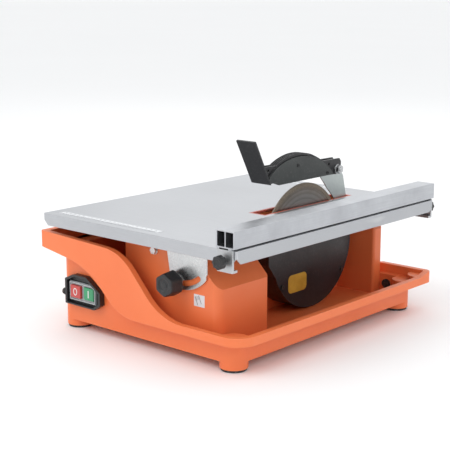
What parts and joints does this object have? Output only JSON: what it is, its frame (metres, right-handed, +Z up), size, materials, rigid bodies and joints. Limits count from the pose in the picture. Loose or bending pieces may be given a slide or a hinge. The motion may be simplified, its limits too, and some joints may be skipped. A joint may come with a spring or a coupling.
{
  "type": "tile cutter",
  "caption": "Bench wet tile cutter with a moulded water tray, a tilting steel table, a guarded diamond blade and a sliding fence.",
  "frame": {"origin": "on the bench, under the centre of the bounding box and of the tray", "axes": "+Z up, +Y the feed direction away from the operator, +X to the right of the operator, across the blade"},
  "size_m": [0.422, 0.5438, 0.3075],
  "materials": {
    "orange_plastic": "fine moulded texture",
    "zinc": "bright zinc plate",
    "black_rubber": "matt",
    "grey_rubber": "matt",
    "black_plastic": "fine moulded texture",
    "guard_plastic": "fine moulded texture",
    "switch_grey": "satin",
    "red_plastic": "satin",
    "green_plastic": "satin",
    "cast_aluminium": "die cast",
    "bearing_steel": "ground",
    "dark_steel": "lacquered laminations",
    "capacitor_grey": "satin",
    "blade_steel": "circular ground finish",
    "diamond_grit": "sintered diamond rim",
    "gold_label": "printed label",
    "knife_steel": "plain sheet",
    "table_steel": "brushed sheet",
    "red_insert": "moulded",
    "white_scale": "printed strip",
    "fence_aluminium": "extruded, anodised"
  },
  "bodies": {
    "base": {"base_tray": "orange_plastic", "motor_cover": "orange_plastic", "motor_cover_screws": "zinc", "rubber_feet": "black_rubber", "foot_screws": "zinc", "rest_pads": "grey_rubber", "switch_housing": "black_plastic", "switch_plate": "switch_grey", "switch_body": "black_plastic", "cable_gland": "black_rubber", "motor_housing": "cast_aluminium", "motor_flange": "cast_aluminium", "motor_end_bell": "cast_aluminium", "motor_bearings": "bearing_steel", "stator": "dark_steel", "fan_cowl": "black_plastic", "motor_bolts": "zinc", "shaft_seal": "black_rubber", "capacitor": "capacitor_grey", "capacitor_clip": "black_plastic", "lower_guard_back": "black_plastic", "lower_guard_cover": "black_plastic", "lower_guard_screws": "dark_steel", "guard_badge": "gold_label", "riving_knife": "knife_steel", "knife_bracket": "zinc", "knife_screws": "zinc", "guard_pivot_bolt": "zinc", "guard_pivot_nut": "zinc", "hinge_pins": "zinc", "lock_stud": "zinc", "tilt_stop_screw": "zinc", "angle_scale": "white_scale"},
    "table": {"table_top": "table_steel", "slot_insert": "red_insert", "front_tilt_bracket": "zinc", "rear_tilt_bracket": "zinc", "bracket_rivets": "zinc", "scale_strips": "white_scale"},
    "spindle": {"rotor_shaft": "bearing_steel", "motor_fan": "black_plastic", "inner_flange": "bearing_steel", "outer_flange": "bearing_steel", "arbor_nut": "zinc", "blade_disc": "blade_steel", "blade_cutting_rim": "diamond_grit"},
    "guard": {"blade_guard": "black_plastic", "guard_cheek": "guard_plastic", "guard_cheek_screws": "black_plastic", "guard_visor": "black_plastic"},
    "fence": {"fence_rail": "fence_aluminium", "front_fence_clamp": "cast_aluminium", "rear_fence_clamp": "cast_aluminium"},
    "lock": {"lock_knob": "black_plastic", "lock_washer": "zinc"},
    "drain_plug": {"drain_plug": "black_rubber"},
    "stop_button": {"stop_button": "red_plastic"},
    "start_button": {"start_button": "green_plastic"},
    "front_clamp_screw": {"front_clamp_screw": "black_plastic"},
    "rear_clamp_screw": {"rear_clamp_screw": "black_plastic"}
  },
  "joints": [
    {"name": "table_tilt", "type": "hinge", "parent": "base", "child": "table", "pos_m": [0.07, 0, 0.169], "axis": [0, 1, 0], "range_deg": [0, 45]},
    {"name": "blade_spin", "type": "hinge", "parent": "base", "child": "spindle", "pos_m": [0.07, 0.07, 0.124], "axis": [1, 0, 0], "continuous": true},
    {"name": "guard_lift", "type": "hinge", "parent": "base", "child": "guard", "pos_m": [0.07, 0.154, 0.238], "axis": [-1, 0, 0], "range_deg": [0, 35]},
    {"name": "lock_knob_turn", "type": "hinge", "parent": "base", "child": "lock", "pos_m": [0.06269, -0.23, 0.11348], "axis": [0, -1, 0], "range_deg": [0, 360]},
    {"name": "fence_slide", "type": "slide", "parent": "table", "child": "fence", "axis": [-1, 0, 0], "range_m": [0, 0.085]},
    {"name": "front_clamp_turn", "type": "hinge", "parent": "fence", "child": "front_clamp_screw", "pos_m": [0.188, -0.26, 0.172], "axis": [0, -1, 0], "range_deg": [0, 360]},
    {"name": "rear_clamp_turn", "type": "hinge", "parent": "fence", "child": "rear_clamp_screw", "pos_m": [0.188, 0.26, 0.172], "axis": [0, 1, 0], "range_deg": [0, 360]},
    {"name": "stop_press", "type": "slide", "parent": "base", "child": "stop_button", "axis": [0, 1, 0], "range_m": [0, 0.004], "stiffness_N_per_m": 600},
    {"name": "start_press", "type": "slide", "parent": "base", "child": "start_button", "axis": [0, 1, 0], "range_m": [0, 0.004], "stiffness_N_per_m": 600},
    {"name": "drain_plug_pull", "type": "slide", "parent": "base", "child": "drain_plug", "axis": [0, 1, 0], "range_m": [0, 0.02]}
  ]
}
